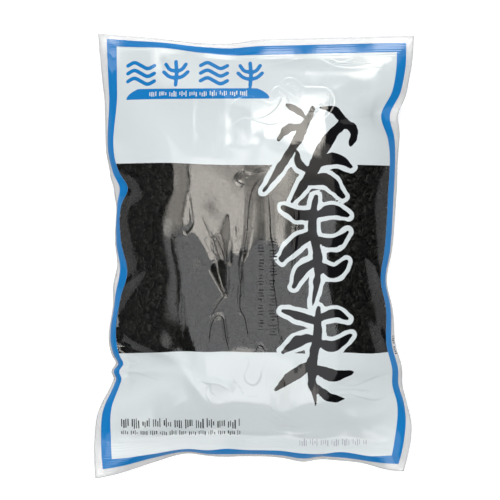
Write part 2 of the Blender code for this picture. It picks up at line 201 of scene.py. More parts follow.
# The softboxes: name, middle, what each faces, width and length, radiance, colour, where its light shows,
# and the shares of its width and length over which it fades in at its left, right, low and high sides
WARM, COOL, PLAIN = (1.0, 0.95, 0.87), (0.96, 0.97, 1.0), (1.0, 1.0, 1.0)
ON_MATT, ON_GLOSS, ON_BOTH = (True, False), (False, True), (True, True)
DOWN = None
NO_FADE = (0, 0, 0, 0)
SOFTBOXES = (
    ("key", (-0.235, 0.325, 1.6), DOWN, (0.81, 0.59), 3.2, WARM, ON_GLOSS, (0.04, 0.14, 0, 0.1)),
    ("key_edge", (-0.235, 0.225, 1.605), DOWN, (0.81, 0.39), 1.4, WARM, ON_GLOSS, (0.04, 0.14, 0, 0.45)),
    ("key_left", (-1.03, 0.365, 1.61), DOWN, (0.74, 0.67), 2.0, WARM, ON_GLOSS, (0.1, 0.08, 0, 0.2)),
    ("key_right", (0.52, 0.435, 1.615), DOWN, (0.86, 0.83), 1.15, WARM, ON_GLOSS, (0.08, 0.1, 0.45, 0.1)),
    ("key_upper", (0.16, 0.83, 0.86), (0.16, 0, 0), (0.66, 0.92), 9.5, WARM, ON_GLOSS,
     (0.2, 0.45, 0.45, 0.1)),
    ("key_fan", (-0.93, -0.03, 1.17), (0, 0, 0), (0.56, 0.32), 0.85, PLAIN, ON_GLOSS, (0.3, 0.1, 0.5, 0.1)),
    ("key_south", (-0.04, -0.984, 1.132), (-0.04, 0, 0), (0.72, 1.03), 2.1, WARM, ON_GLOSS,
     (0.12, 0.08, 0, 0.12)),
    ("low", (0.03, -0.947, 1.6), DOWN, (1.76, 1.918), 1.25, COOL, ON_BOTH, NO_FADE),
    ("bridge", (0.45, 0.137, 1.59), DOWN, (0.9, 0.25), 1.25, COOL, ON_GLOSS, (0.08, 0, 0, 0.9)),
    ("below", (0, 0, -0.05), (0, 0, 1), (3, 3), 0.35, PLAIN, ON_GLOSS, NO_FADE),
    ("low_fill", (0, -1.3, 1.2), (0, 0, 0), (1.8, 1.2), 0.72, WARM, ON_MATT, NO_FADE),
    ("left_wall", (-1.6, 0, 0.8), (0, 0, 0.8), (2.4, 1.6), 0.05, PLAIN, ON_GLOSS, NO_FADE),
    ("top_wall", (0, 1.5, 0.5), (0, 0, 0.05), (2.4, 0.9), 0.6, PLAIN, ON_GLOSS, NO_FADE),
    ("top_fill", (0, 1.5, 0.5), (0, 0, 0.05), (2.4, 0.9), 5.6, PLAIN, ON_MATT, NO_FADE),
    ("fill", (-0.15, 0.3, 1.7), (0, 0, 0), (2.2, 2.2), 1.5, PLAIN, ON_MATT, NO_FADE),
)

# How far each side seal's inner edge is from the middle line once the pouch is filled, at each v, in mm
LEFT_SEAM = (
    (-165.5, 108.3), (-136, 110.5), (-113, 109.5), (-98, 103.5), (-93, 101.8), (-87, 103.8), (-82, 100.3),
    (-76, 103.2), (-34, 102.8), (-15, 97.3), (10, 102.4), (36, 101.8), (48, 96.8), (60, 103.8),
    (118, 105.3), (165.5, 106.2),
)
RIGHT_SEAM = (
    (-165.5, 100.5), (-140, 106), (-112, 107.8), (-98, 104), (-88, 104), (-70, 99.6), (-40, 98.8),
    (-20, 94.8), (4, 97.8), (40, 100.4), (86, 100.4), (104, 95.2), (122, 104), (136, 107), (165.5, 107.6),
)

# How steeply each side flap hangs at its inner and its outer edge, at each v, in degrees
LEFT_TILT = (
    (-165.5, 8, 15), (-132, 10, 52), (-105, 50, 70), (-70, 52, 80), (-36, 56, 84), (-17, 24, 66),
    (-8, 30, 84), (14, 64, 86), (36, 62, 86), (48, 16, 52), (62, 50, 76), (78, 54, 80), (120, 25, 55),
    (165.5, 0, 10),
)
RIGHT_TILT = (
    (-165.5, 10, 38), (-135, 10, 46), (-113, 44, 74), (-97, 52, 60), (-62, 56, 66), (-32, 54, 86),
    (-4, 42, 86), (40, 50, 72), (86, 42, 54), (104, 8, 4), (122, 20, 48), (165.5, 5, 28),
)

# How far each end flap's inner edge lies from where it was cut, in mm, and its tilts in degrees, at each u
TOP_FLAP = (
    (-119, 4.4, 34, 64), (-90, 3.2, 44, 62), (-66, 2.3, 50, 64), (-40, -1.2, 44, 62), (-20, -3, 34, 56),
    (0, -2.8, 18, 44), (45, -1.8, 14, 42), (119, -0.4, 10, 42),
)
BOTTOM_FLAP = (
    (-119, -3, 6, 14), (-98, -1.8, 40, 38), (-76, 1.4, 70, 50), (-52, 5, 68, 74), (-35, 4.2, 58, 76),
    (-22, 5.3, 44, 74), (-8, 4.2, 56, 74), (20, 3.4, 54, 72), (36, 1.4, 52, 66), (50, 1, 76, 62),
    (62, 2.6, 50, 68), (90, -0.6, 50, 66), (104, 0.2, 30, 46), (119, 0.8, 12, 32),
)

# Folds of the front film that run in from its edge, each from (u, v) to (u, v), with its depth and half width
FOLD_SHARPNESS = 1.6
FOLD_ROUNDNESS = 0.03
EDGE_FOLDS = (
    (-118, 48, -78, 38, 5.0, 8),
    (-118, -30, -72, -4, 4.2, 8),
    (-118, -88, -55, -96, 4.2, 10),
    (118, 109, 52, 99, 6.5, 11),
    (118, -30, 66, 18, 5.0, 9),
    (118, -78, 80, -42, 3.0, 8),
    (-86, -166, -70, -104, 2.6, 11),
    (-36, -166, -30, -118, 2.8, 10),
    (26, -166, 23, -110, 3.6, 9),
    (72, -166, 62, -112, 3.0, 10),
    (-78, 166, -64, 116, 2.4, 12),
    (-8, 166, 6, 118, 2.6, 12),
    (58, 166, 50, 122, 3.0, 12),
    (-116, -62, -40, -92, 6.0, 7),
)

# Folds of its middle, which fade at both ends; a ridge is negative
MIDDLE_FOLDS = (
    (-40, 70, -30, -60, 1.4, 13),
    (8, 96, 14, -70, 0.5, 12),
    (46, 60, 38, -64, 1.1, 12),
    (-12, 60, -8, -96, -1.0, 11),
    (28, 70, 27, -84, -0.2, 10),
    (-40, -95, -15, -104, -1.4, 4),
    (58, -97, 106, -92, 1.5, 5),
    (52, -108, 99, -107, -1.4, 4),
    (6, 141, 105, 137, -0.9, 4),
    (-104, 151, -62, 138, 0.9, 5),
    (-18, 112, 20, 99, -0.6, 5),
    (30, 122, 58, 112, -0.6, 5),
)

# Thin creases of the front film: points on the filled pouch in mm, then slope and half width in mm.
# A positive slope rises to the left of its path. A crease ends CREASE_REACH half widths from its path
CREASE_REACH = 4
THIN_CREASES = (
    (((2, 54), (-3, 45), (-5.5, 30), (-6.5, 14), (-8, 4), (-10.5, -18), (-11.5, -40), (-8, -47),
      (-5, -64)), 1.1, 1.1),
    (((-19.5, 12), (-21, 0), (-21.5, -10), (-22, -28), (-27, -36), (-33, -47)), 1.1, 1.1),
    (((-34, -66), (-33, -55), (-29, -46), (-24, -48), (-21.5, -64), (-18, -73)), 1.1, 1.0),
    (((9, 44), (10.5, 30), (11, 14), (13, 2), (13.2, -22), (15.5, -39), (17.5, -64)), -1.1, 1.1),
    (((29, 42), (30, 30), (28, 6), (26.5, -10), (25, -30)), 1.1, 1.1),
    (((-53, -30), (-54.4, -43), (-53.5, -64)), 0.6, 0.7),
    (((-0.5, -73), (3, -67), (8, -73)), 1.1, 1.0),
    (((18.5, -59), (22, -70), (27, -59)), -1.1, 1.0),
    (((-30, 14), (-25, 4), (-22, -6)), 1.1, 1.1),
    (((-40, 28), (-33, 12), (-30, -2)), 0.6, 0.7),
    (((-11, 62), (-4, 59), (6, 62), (14, 60)), 0.5, 0.8),
    (((-10, 60), (-14, 54), (-9, 50)), 1.1, 1.1),
    (((-89.6, 49), (-95, 42), (-99.4, 31)), 0.35, 0.9),
    (((-92.6, 4), (-86, -3), (-79, -11)), 0.4, 0.9),
    (((-80.6, -3.4), (-90, -18), (-100, -33)), 0.35, 0.9),
    (((69.4, 14.6), (83, 1), (97.9, -10.9)), 0.4, 0.9),
    (((83, -46), (87.4, -56), (93.4, -68)), 0.4, 0.9),
    (((94, -10), (97, -26), (98, -42)), -0.35, 1.0),
    (((-5.6, -115), (5, -113.6), (14.6, -120), (26, -125), (37, -120.4), (56, -117)), -0.22, 1.6),
    (((5, -128.6), (18, -133), (33, -134.6), (52, -131)), -0.22, 1.4),
    (((-100, -79), (-92, -82), (-84, -79)), -0.3, 1.3),
    (((19, 127), (23.5, 131), (30.5, 129.5), (36.5, 124), (51.5, 123.5), (57.5, 117.5), (58, 110),
      (53.5, 102.5), (47, 98.5)), 0.4, 1.3),
    (((42.5, 101), (47.5, 107.5), (53.5, 113)), 0.4, 1.3),
    (((-18.5, 110), (-13, 115), (-2.5, 116.5), (6.5, 113), (12.5, 111.5), (19, 116), (15.5, 107.5),
      (8, 101.5), (-0.5, 99.5), (-9.5, 103), (-17, 107.5)), 0.35, 1.4),
    (((9.5, 116.5), (15.5, 124), (22, 121), (28, 116.5), (33.5, 111.5)), 0.35, 1.3),
    (((41, 110.5), (44, 106), (49, 111.5), (54.5, 107)), 0.4, 1.2),
    (((-17, 95), (-8, 100), (2, 97), (11, 95), (19, 97)), 0.3, 1.4),
    (((-64, 128), (-68.5, 121), (-67, 115), (-58, 111.5)), 0.3, 1.4),
    (((5, 140), (22, 143.5), (33.5, 146.5), (47, 146.5), (59.5, 140.5), (72.5, 139), (87.5, 140),
      (104.5, 137)), 0.35, 1.6),
    (((56, 146), (65, 143.5), (75.5, 147.5), (84.5, 145)), 0.4, 1.3),
    (((-7, -74), (-5, -81.5), (-8.5, -89), (-6.5, -95), (-0.5, -97), (3.5, -92), (5, -84.5),
      (8.5, -77.5)), 0.25, 2.0),
    (((-47.5, -83), (-44.5, -92), (-36.5, -95.5), (-26.5, -97), (-17.5, -102.5)), 0.3, 2.0),
    (((-35, -97), (-37, -103), (-33.5, -110)), 0.4, 1.3),
    (((20.5, -91), (21.5, -99.5), (17.5, -105.5), (16, -113)), 0.25, 2.0),
    (((59, -95), (72.5, -98), (87.5, -92.5), (102.5, -89)), 0.35, 1.6),
    (((53.5, -108.5), (67, -104), (78.5, -107), (91, -109), (105.5, -103)), 0.35, 1.6),
    (((-103, -97), (-92, -89), (-71.5, -94)), 0.3, 1.5),
)

# Where the front film turns down steeply above its bottom seal: plan x and y, in mm
BROW_LINE = (
    (-119, -62), (-90, -66), (-62, -78), (-52, -88), (-47.6, -94), (-41, -103), (-34.9, -109),
    (-28.6, -111.7), (-21, -110.3), (-14.6, -109.4), (-8, -109.4), (-1.1, -110.6), (5, -111.5),
    (9.8, -113.3), (17.4, -118), (23.6, -118.4), (32.6, -113.3), (41.6, -110.2), (51, -110.9),
    (60.4, -116.3), (67.9, -121.7), (78.4, -122.6), (87.8, -121.7), (97, -117), (119, -100),
)
BROW_SLOPE = 0.27
BROW_REACH = 20 * MM
BROW_ROUNDNESS = 0.7 * MM
BROW_HALF_WIDTH = 105 * MM

# The left half of the bottom seal tips up by this slope from this far down, fully up to this far across
SEAL_TIP = 0.18
SEAL_TIP_START = 137 * MM
SEAL_TIP_FULL = -40 * MM
SEAL_TIP_END = 15 * MM

# The soft ridge across the window, from which the film slopes away both ways: its v and roundness at each u
CROWN_LINE = (
    (-60, 24, 2), (-48, 18, 2), (-42, 12, 2), (-37, 3, 2), (-33, -5, 3), (-28, -9, 4), (-23, -9, 4),
    (-19, 0, 2), (-16, 0, 1.5), (-12, -3, 2), (-9, -4, 2), (-6, 0, 2), (0, 6, 3), (20, 5, 3), (50, 2, 3),
)
CROWN_SLOPE = 0.065
CROWN_REACH = 62 * MM
CROWN_HALF_WIDTH = 52 * MM
CROWN_MIDDLE = -8 * MM

# Steep grooves of the film over the window: points on the filled pouch, then start and end half widths, in mm
GROOVES = (
    (((-27.5, -11), (-26, -18.5), (-22, -30.5)), 6.4, 1.5),
    (((-8.5, 1), (-11, -8), (-10, -23.5), (-8.5, -39.5)), 3.0, 0.7),
    (((-19, 11), (-18.5, 2.5), (-19, -6.5)), 0.6, 1.8),
    (((-49, 42.5), (-47.5, 31), (-47, 22), (-50.5, 17)), 0.5, 2.2),
    (((-14, 20.5), (-13, 14.5), (-14.5, 10)), 0.9, 0.6),
    (((-37, 11.5), (-34, 4), (-29.5, -2.5)), 0.6, 0.9),
)
GROOVE_SLOPE = 0.6


# Three brush-painted sprigs, as strokes: points on the filled pouch, then the half widths at start, middle
# and end, in mm
SPRIGS = (
    (((6, 46), (20, 66), (33, 88), (42, 107)), (1.0, 3.4, 1.8)),
    (((27, 38), (41, 60), (52, 82), (66, 98)), (1.2, 4.6, 3.0)),
    (((23, 110), (30, 106), (38, 99)), (1.0, 2.8, 1.0)),
    (((17, 84), (24, 92), (35, 94)), (1.2, 2.8, 1.4)),
    (((66, 98), (58, 106), (48, 108)), (2.6, 3.0, 0.8)),
    (((66, 98), (73, 90), (70, 80)), (2.8, 3.4, 1.0)),
    (((44, 66), (58, 70), (71, 64)), (2.4, 4.2, 1.4)),
    (((36, 52), (52, 54), (64, 42)), (1.6, 4.4, 1.6)),
    (((40, 60), (32, 66), (30, 76)), (2.0, 2.8, 0.8)),
    (((44, 42), (42, 18), (46, -8), (42, -38)), (1.6, 3.4, 1.0)),
    (((20, 34), (32, 28), (44, 30)), (1.6, 3.8, 2.4)),
    (((44, 28), (56, 32), (68, 28)), (2.4, 4.0, 1.4)),
    (((43, 14), (30, 8), (19, -4)), (2.4, 4.4, 2.2)),
    (((45, 10), (58, 8), (68, 16)), (2.2, 3.8, 1.2)),
    (((44, -6), (34, -12), (28, -24)), (1.8, 3.6, 1.2)),
    (((46, -8), (58, -14), (67, -6)), (2.0, 4.2, 1.4)),
    (((46, -40), (45, -62), (41, -88), (45, -112)), (1.4, 3.8, 1.2)),
    (((45, -50), (33, -46), (20, -42)), (2.2, 3.4, 1.2)),
    (((46, -48), (58, -44), (68, -48)), (2.2, 3.4, 1.2)),
    (((44, -62), (32, -64), (20, -72)), (2.2, 4.0, 1.4)),
    (((45, -66), (58, -68), (70, -60)), (2.2, 3.8, 1.2)),
    (((42, -82), (30, -88), (15, -100)), (2.4, 4.6, 1.6)),
    (((43, -84), (57, -90), (72, -88)), (2.4, 4.4, 1.4)),
    (((44, -98), (54, -106), (66, -108)), (1.8, 3.4, 1.0)),
)
RUFFLE = 0.7 * MM
RUFFLE_CELL = 4.5 * MM
RUFFLE_SEED = 31

# A row of small printed signs, waves and sprigs in turn, over a band with tapered ends, in mm
SIGN_PLACES = ((-85.5, 134.5), (-59.5, 134.5), (-31, 134.5), (-4, 133.5))
SIGN_HALF_WIDTH = 1.4
WAVE_SIGN = (
    ((-10, 6), (-5, 8.4), (0, 6), (5, 3.6), (10, 6)),
    ((-10, 0), (-5, 2.4), (0, 0), (5, -2.4), (10, 0)),
    ((-10, -6), (-5, -3.6), (0, -6), (5, -8.4), (10, -6)),
)
SPRIG_SIGN = (
    ((0, -9), (0.6, 0), (0, 9)),
    ((0, -4), (-5, -2.5), (-9, 1)),
    ((0, -4), (5, -2.5), (9, 1)),
    ((0, 1.5), (-4.5, 3), (-7.5, 7)),
    ((0, 1.5), (4.5, 3), (7.5, 7)),
)
BAND = (-96.5, 10.5, 114.6, 122.6)
BAND_TAPER = 9.0


def bump(distance, half_width=1):
    """A smooth bump of height 1 that fades over about half_width."""
    return np.exp(-((distance / half_width) ** 2))


def rise(value, start, end):
    """0 before start, 1 after end, and a smooth step between them."""
    share = np.clip((value - start) / (end - start), 0, 1)
    return share * share * (3 - 2 * share)


def through(knots, at, column=1):
    """A smooth curve through the knots' values, read at each place in at."""
    knots = np.array(knots, dtype=float)
    places, values = knots[:, 0] * MM, knots[:, column]
    slopes = np.gradient(values, places)
    i = np.clip(np.searchsorted(places, at) - 1, 0, len(places) - 2)
    step = places[i + 1] - places[i]
    share = np.clip((at - places[i]) / step, 0, 1)
    rest = 1 - share
    start = rest**2 * (values[i] * (1 + 2 * share) + slopes[i] * step * share)
    return start + share**2 * (values[i + 1] * (3 - 2 * share) - slopes[i + 1] * step * rest)


def hang(reach, width, inner_tilt, outer_tilt):
    """How far out and how far down a hanging flap gets, at the given reach across it from its inner edge.

    Its slope turns evenly from inner_tilt to outer_tilt, so it hangs in an arc.
    """
    start, end = np.radians(inner_tilt), np.radians(outer_tilt)
    bend = (end - start) / width
    bend = np.where(np.abs(bend) < LEAST_BEND, LEAST_BEND, bend)
    reach = np.clip(reach, 0, width)
    here = start + bend * reach
    return (np.sin(here) - np.sin(start)) / bend, (np.cos(start) - np.cos(here)) / bend


def side_flap(u, v):
    """How far out and down the side flaps get at (u, v), from their inner edges."""
    reach = np.abs(u) - (POUCH_WIDTH / 2 - SIDE_SEAL)
    inner = np.where(u < 0, through(LEFT_TILT, v, 1), through(RIGHT_TILT, v, 1))
    outer = np.where(u < 0, through(LEFT_TILT, v, 2), through(RIGHT_TILT, v, 2))
    return hang(reach, SIDE_SEAL, inner, outer)


def end_flap(u, v):
    """How far out and down the end flaps get at (u, v), from their inner edges."""
    reach = np.abs(v) - (POUCH_LENGTH / 2 - END_FLAP)
    inner = np.where(v < 0, through(BOTTOM_FLAP, u, 2), through(TOP_FLAP, u, 2))
    outer = np.where(v < 0, through(BOTTOM_FLAP, u, 3), through(TOP_FLAP, u, 3))
    return hang(reach, END_FLAP, inner, outer)


def plan(u, v):
    """Where the film's point (u, v) is on the XY plane once the pouch is filled."""
    half = POUCH_WIDTH / 2 - SIDE_SEAL
    across = np.clip(np.abs(u) / half, 0, 1)
    seam = np.where(u < 0, through(LEFT_SEAM, v), through(RIGHT_SEAM, v)) * MM
    x = np.abs(u) * (across < 1) + half * (across >= 1) - (half - seam) * across**SEAM_PULL_POWER
    x = np.sign(u) * (x + side_flap(u, v)[0])
    hinge = POUCH_LENGTH / 2 - END_FLAP
    along = np.clip(v / hinge, -1, 1)
    y = along * hinge + through(TOP_FLAP, u) * MM * ((1 + along) / 2) ** FLAP_PULL_POWER
    y = y + through(BOTTOM_FLAP, u) * MM * ((1 - along) / 2) ** FLAP_PULL_POWER
    return x, y + np.sign(v) * end_flap(u, v)[0]


def seam_height(u, v):
    """The height of the seams' middle plane, carried on across the whole pouch."""
    height = SEAM_HEIGHT + (END_SEAM_HEIGHT - SEAM_HEIGHT) * rise(np.abs(v), END_SEAM_START, END_SEAM_FULL)
    side = (np.abs(u) / (POUCH_WIDTH / 2)) ** SIDE_FADE_POWER
    high, long, turn = SIDE_WAVE
    height = height + side * high * np.sin(2 * math.pi * v / long + turn * np.sign(u))
    ends = (np.abs(v) / (POUCH_LENGTH / 2)) ** END_FADE_POWER
    high, long, turn = END_WAVE
    height = height + ends * high * np.sin(2 * math.pi * u / long + turn * np.sign(v))
    height = height - side_flap(u, v)[1] * (1 - ends) - end_flap(u, v)[1] * (1 - side)
    tip = SEAL_TIP * np.clip(-v - SEAL_TIP_START, 0, POUCH_LENGTH / 2 - END_FLAP - SEAL_TIP_START)
    height = height + tip * rise(-u, -SEAL_TIP_END, -SEAL_TIP_FULL)
    return np.maximum(height, FLAP_LOWEST)


def fullness(u, v):
    """How much of its full bulge the pouch has at (u, v): 0 at the seals and 1 at its middle."""
    half = POUCH_WIDTH / 2 - SIDE_SEAL
    across = np.clip(u / half, -1, 1)
    low, high = -POUCH_LENGTH / 2 + BOTTOM_SEAL, POUCH_LENGTH / 2 - TOP_SEAL
    along = np.clip((2 * v - low - high) / (high - low), -1, 1)
    along = along + CONTENT_SHIFT * (1 - along**2)
    return (
        (1 - across**2)
        * (1 + ACROSS_FULLNESS * across**2)
        * (1 - along**2)
        * (1 + ALONG_FULLNESS * along**2)
    )


def from_edge(near):
    """How deep a fold from the edge is at a share of its length: a quarter of a cosine wave."""
    return np.cos(near * math.pi / 2)


def both_ends(near):
    """How deep a fold of the middle is at a share of its length: half a sine wave."""
    return np.sin(near * math.pi)


def creased(away):
    """The cross-section of a crisp fold: exp(-FOLD_SHARPNESS e), where e is the distance, rounded near 0."""
    return np.exp(-FOLD_SHARPNESS * (np.sqrt(away**2 + FOLD_ROUNDNESS) - math.sqrt(FOLD_ROUNDNESS)))


def fold_depth(u, v, folds, fade, section):
    """How far the folds lower the film at (u, v): each is a straight valley that fades along its length."""
    depth = np.zeros(np.broadcast(u, v).shape)
    for start_u, start_v, end_u, end_v, deep, half_width in folds:
        run_u, run_v = (end_u - start_u) * MM, (end_v - start_v) * MM
        along = ((u - start_u * MM) * run_u + (v - start_v * MM) * run_v) / (run_u**2 + run_v**2)
        near = np.clip(along, 0, 1)
        away = np.hypot(u - start_u * MM - near * run_u, v - start_v * MM - near * run_v)
        depth = depth + deep * MM * fade(near) * section(away / (half_width * MM))
    return depth


def distance_to_path(u, v, path):
    """The distance of each (u, v) from a path of straight stretches, how far along it the nearest place is,
    and the side of the path that (u, v) is on: 1 to its left and -1 to its right."""
    best, along, side = np.full(u.shape, 1.0), np.zeros(u.shape), np.ones(u.shape)
    for i in range(len(path) - 1):
        (start_u, start_v), (end_u, end_v) = path[i], path[i + 1]
        run_u, run_v = end_u - start_u, end_v - start_v
        share = np.clip(((u - start_u) * run_u + (v - start_v) * run_v) / (run_u**2 + run_v**2), 0, 1)
        away = np.hypot(u - start_u - share * run_u, v - start_v - share * run_v)
        left = np.sign(run_u * (v - start_v) - run_v * (u - start_u))
        along = np.where(away < best, (i + share) / (len(path) - 1), along)
        side = np.where(away < best, left, side)
        best = np.minimum(away, best)
    return best, along, side


def smooth_path(points, count=24):
    """A smooth curve through a few points, as count points in metres."""
    points = np.array(points, dtype=float) * MM
    ends = np.vstack([2 * points[0] - points[1], points, 2 * points[-1] - points[-2]])
    at = np.linspace(0, len(points) - 1 - 1e-9, count)
    i = at.astype(int)
    t = (at - i)[:, None]
    a, b, c, d = ends[i], ends[i + 1], ends[i + 2], ends[i + 3]
    return 0.5 * (2 * b + (c - a) * t + (2 * a - 5 * b + 4 * c - d) * t**2 + (3 * b - a - 3 * c + d) * t**3)


def thin_creases(x, y):
    """The signed distance from the nearest thin crease in its half widths, and the crease's height in mm.

    The height fades at the crease's ends, and is 0 beyond its reach.
    """
    far = CREASE_REACH + 2
    nearest, place, height = np.full(x.shape, 99.0), np.full(x.shape, float(far)), np.zeros(x.shape)
    for points, slope, half_width in THIN_CREASES:
        away, along, side = distance_to_path(x, y, smooth_path(points))
        away = away / (half_width * MM)
        closer = away < nearest
        high = np.where(away < CREASE_REACH, slope * half_width * np.sin(along * math.pi) ** 0.5, 0)
        nearest = np.where(closer, away, nearest)
        place = np.where(closer, np.clip(side * away, -far, far), place)
        height = np.where(closer, high, height)
    return place, height


def brow(x, y):
    """How far the brow lifts the front film: a rounded tent over its line, which fades outwards."""
    away = y - through(BROW_LINE, x) * MM
    tent = np.sqrt(away**2 + BROW_ROUNDNESS**2) * bump(away, BROW_REACH)
    return -BROW_SLOPE * tent * bump(x, BROW_HALF_WIDTH)


def groove_depth(x, y):
    """How far the grooves lower the film: each is a V whose half width changes evenly along its path."""
    depth = np.zeros(x.shape)
    for points, start, end in GROOVES:
        away, along, _ = distance_to_path(x, y, smooth_path(points, 12))
        depth = np.maximum(depth, GROOVE_SLOPE * ((start + (end - start) * along) * MM - away))
    return depth


def rumple(u, v, cell, seed):
    """Smooth noise from -1 to 1: random values on a lattice of the given cell, blended between."""
    draw = np.random.default_rng(seed)
    lattice = draw.uniform(-1, 1, (int(0.5 / cell) + 3, int(0.5 / cell) + 3))
    at_u, at_v = (u + 0.25) / cell, (v + 0.25) / cell
    i, j = at_u.astype(int), at_v.astype(int)
    s, t = at_u - i, at_v - j
    s, t = s * s * s * (s * (6 * s - 15) + 10), t * t * t * (t * (6 * t - 15) + 10)
    low = lattice[i, j] * (1 - s) + lattice[i + 1, j] * s
    high = lattice[i, j + 1] * (1 - s) + lattice[i + 1, j + 1] * s
    return low * (1 - t) + high * t


def crown_break(u, v):
    """How far the soft ridge lifts the front film: a rounded tent over its line, which fades outwards."""
    line, roundness = through(CROWN_LINE, u, 1) * MM, np.maximum(through(CROWN_LINE, u, 2), 1) * MM
    away = np.sqrt((v - line) ** 2 + roundness**2)
    return -CROWN_SLOPE * away * bump(v - line, CROWN_REACH) * bump(u - CROWN_MIDDLE, CROWN_HALF_WIDTH)


def wrinkles(u, v):
    """The small unevenness of a thin film that is drawn over crisp flakes, and crumpled beyond the window."""
    more_above, reach_above = CRUMPLED_ABOVE
    more_below, reach_below = CRUMPLED_BELOW
    crumpled = 1 + more_above * rise(v, WINDOW_TOP, WINDOW_TOP + reach_above)
    crumpled = crumpled + more_below * rise(-v, -WINDOW_BOTTOM, -WINDOW_BOTTOM + reach_below)
    height = RIB_HEIGHT * (1 - np.abs(rumple(u, v * RIB_STRETCH, RIB_CELL, RIB_SEED)) * 2)
    for high, cell, seed in RUMPLES:
        height = height + high * rumple(u, v, cell, seed)
    return height * crumpled


def settled(u, v):
    """The contents' own soft waves: a product of two sines and a slanting sine, none at the even place."""
    across, turn_across = SETTLED_ACROSS
    along, turn_along = SETTLED_ALONG
    height = SETTLED_HEIGHT * np.sin(u / across + turn_across) * np.sin(v / along + turn_along)
    height = height + SLANT_HEIGHT * np.sin((u + v) / SLANT_LENGTH)
    return height * (1 - bump(u - EVEN_PLACE, EVEN_WIDTH) * bump(v, EVEN_LENGTH))


def front_bulge(u, v):
    """How far the front film's inner side is above the seams' middle plane."""
    full = fullness(u, v)
    x, y = plan(u, v)
    folds = fold_depth(u, v, EDGE_FOLDS, from_edge, creased) + fold_depth(u, v, MIDDLE_FOLDS, both_ends, bump)
    fine = settled(u, v) + wrinkles(u, v) + crown_break(u, v) + brow(x, y) - folds - groove_depth(x, y)
    bulge = (CROWN_HEIGHT - FILM - SEAM_HEIGHT) * full
    return np.maximum(bulge + fine * np.clip(full * SETTLED_RISE, 0, 1), 0)


def back_bulge(u, v):
    """How far the back film's inner side is below that plane: the contents press it flat underneath."""
    room = seam_height(u, v) - SEAL_GAP / 2 - FILM - BACK_REST
    wanted = BACK_DEPTH * fullness(u, v)
    return np.minimum(wanted, np.maximum(room, 0))


def offset_to_frame():
    """How far the filled pouch's own middle is from the frame's origin, on X and Y."""
    v = np.linspace(-POUCH_LENGTH / 2, POUCH_LENGTH / 2, 600)
    u = np.linspace(-POUCH_WIDTH / 2, POUCH_WIDTH / 2, 600)
    left, right = plan(np.full_like(v, u[0]), v)[0].min(), plan(np.full_like(v, u[-1]), v)[0].max()
    low, high = plan(u, np.full_like(u, v[0]))[1].min(), plan(u, np.full_like(u, v[-1]))[1].max()
    box_low, box_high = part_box("front_film")
    middle_x, middle_y = (box_low[0] + box_high[0]) / 2, (box_low[1] + box_high[1]) / 2
    return middle_x - (left + right) / 2, middle_y - (low + high) / 2


OFFSET_X, OFFSET_Y = offset_to_frame()
UV_SPAN = 400 * MM


def seam_surface(u, v):
    """The points of the seams' middle plane at (u, v), in the frame."""
    x, y = plan(u, v)
    return np.stack([x + OFFSET_X, y + OFFSET_Y, seam_height(u, v)], axis=-1)


def grid_normals(points):
    """The unit normals of a grid of points, from the differences along its rows and columns."""
    normal = np.cross(np.gradient(points, axis=1), np.gradient(points, axis=0))
    return normal / np.linalg.norm(normal, axis=-1, keepdims=True)


def film_grid(bulge, side, u_lines, v_lines):
    """The inner side of a film as a grid of points: rows along v, columns along u."""
    u, v = np.meshgrid(u_lines, v_lines)
    seams = seam_surface(u, v)
    points = seams + grid_normals(seams) * side * SEAL_GAP / 2
    points[..., 2] += side * bulge(u, v)
    return u, v, points


def shell(name, u, v, points, side):
    """A closed shell of the film's thickness: its inner side is the grid and its outer side is offset.

    Its UV map "flat" holds u and v, and "plan" the place on the XY plane of the filled pouch.
    """
    rows, columns = u.shape
    normals = grid_normals(points)
    outer = points + normals * side * FILM
    upper, lower = (outer, points) if side > 0 else (points, outer)
    corner = np.arange(rows * columns).reshape(rows, columns)
    a, b, c, d = corner[:-1, :-1], corner[:-1, 1:], corner[1:, 1:], corner[1:, :-1]
    top = np.stack([a, b, c, d], axis=-1).reshape(-1, 4)
    under = np.stack([a, d, c, b], axis=-1).reshape(-1, 4) + rows * columns
    rim = np.concatenate([corner[0, :-1], corner[:-1, -1], corner[-1, :0:-1], corner[:0:-1, 0]])
    turned = np.roll(rim, -1)
    wall = np.stack([rim, rim + rows * columns, turned + rows * columns, turned], axis=-1)
    faces = np.concatenate([top, under, wall])
    places = np.concatenate([upper.reshape(-1, 3), lower.reshape(-1, 3)])
    made = mesh_object(name, places, faces)
    for uv_map, (across, along) in (("flat", (u, v)), ("plan", plan(u, v))):
        place = np.stack([across / UV_SPAN + 0.5, along / UV_SPAN + 0.5], axis=-1).reshape(-1, 2)
        add_uv(made.data, uv_map, np.concatenate([place, place])[faces.ravel()])
    return made


def mesh_object(name, places, faces):
    """A mesh object from an array of places and one of faces that all have the same number of corners."""
    mesh = bpy.data.meshes.new(name)
    sides = faces.shape[1]
    mesh.vertices.add(len(places))
    mesh.vertices.foreach_set("co", np.ascontiguousarray(places, dtype=np.float32).ravel())
    mesh.loops.add(faces.size)
    mesh.loops.foreach_set("vertex_index", faces.astype(np.int32).ravel())
    mesh.polygons.add(len(faces))
    mesh.polygons.foreach_set("loop_start", np.arange(0, faces.size, sides, dtype=np.int32))
    mesh.polygons.foreach_set("loop_total", np.full(len(faces), sides, dtype=np.int32))
    mesh.update(calc_edges=True)
    mesh.validate()
    mesh.shade_smooth()
    made = bpy.data.objects.new(name, mesh)
    bpy.context.scene.collection.objects.link(made)
    return made


def add_uv(mesh, name, values):
    """Gives the mesh a UV map with a value for each face corner."""
    layer = mesh.uv_layers.new(name=name)
    layer.uv.foreach_set("vector", np.ascontiguousarray(values, dtype=np.float32).ravel())


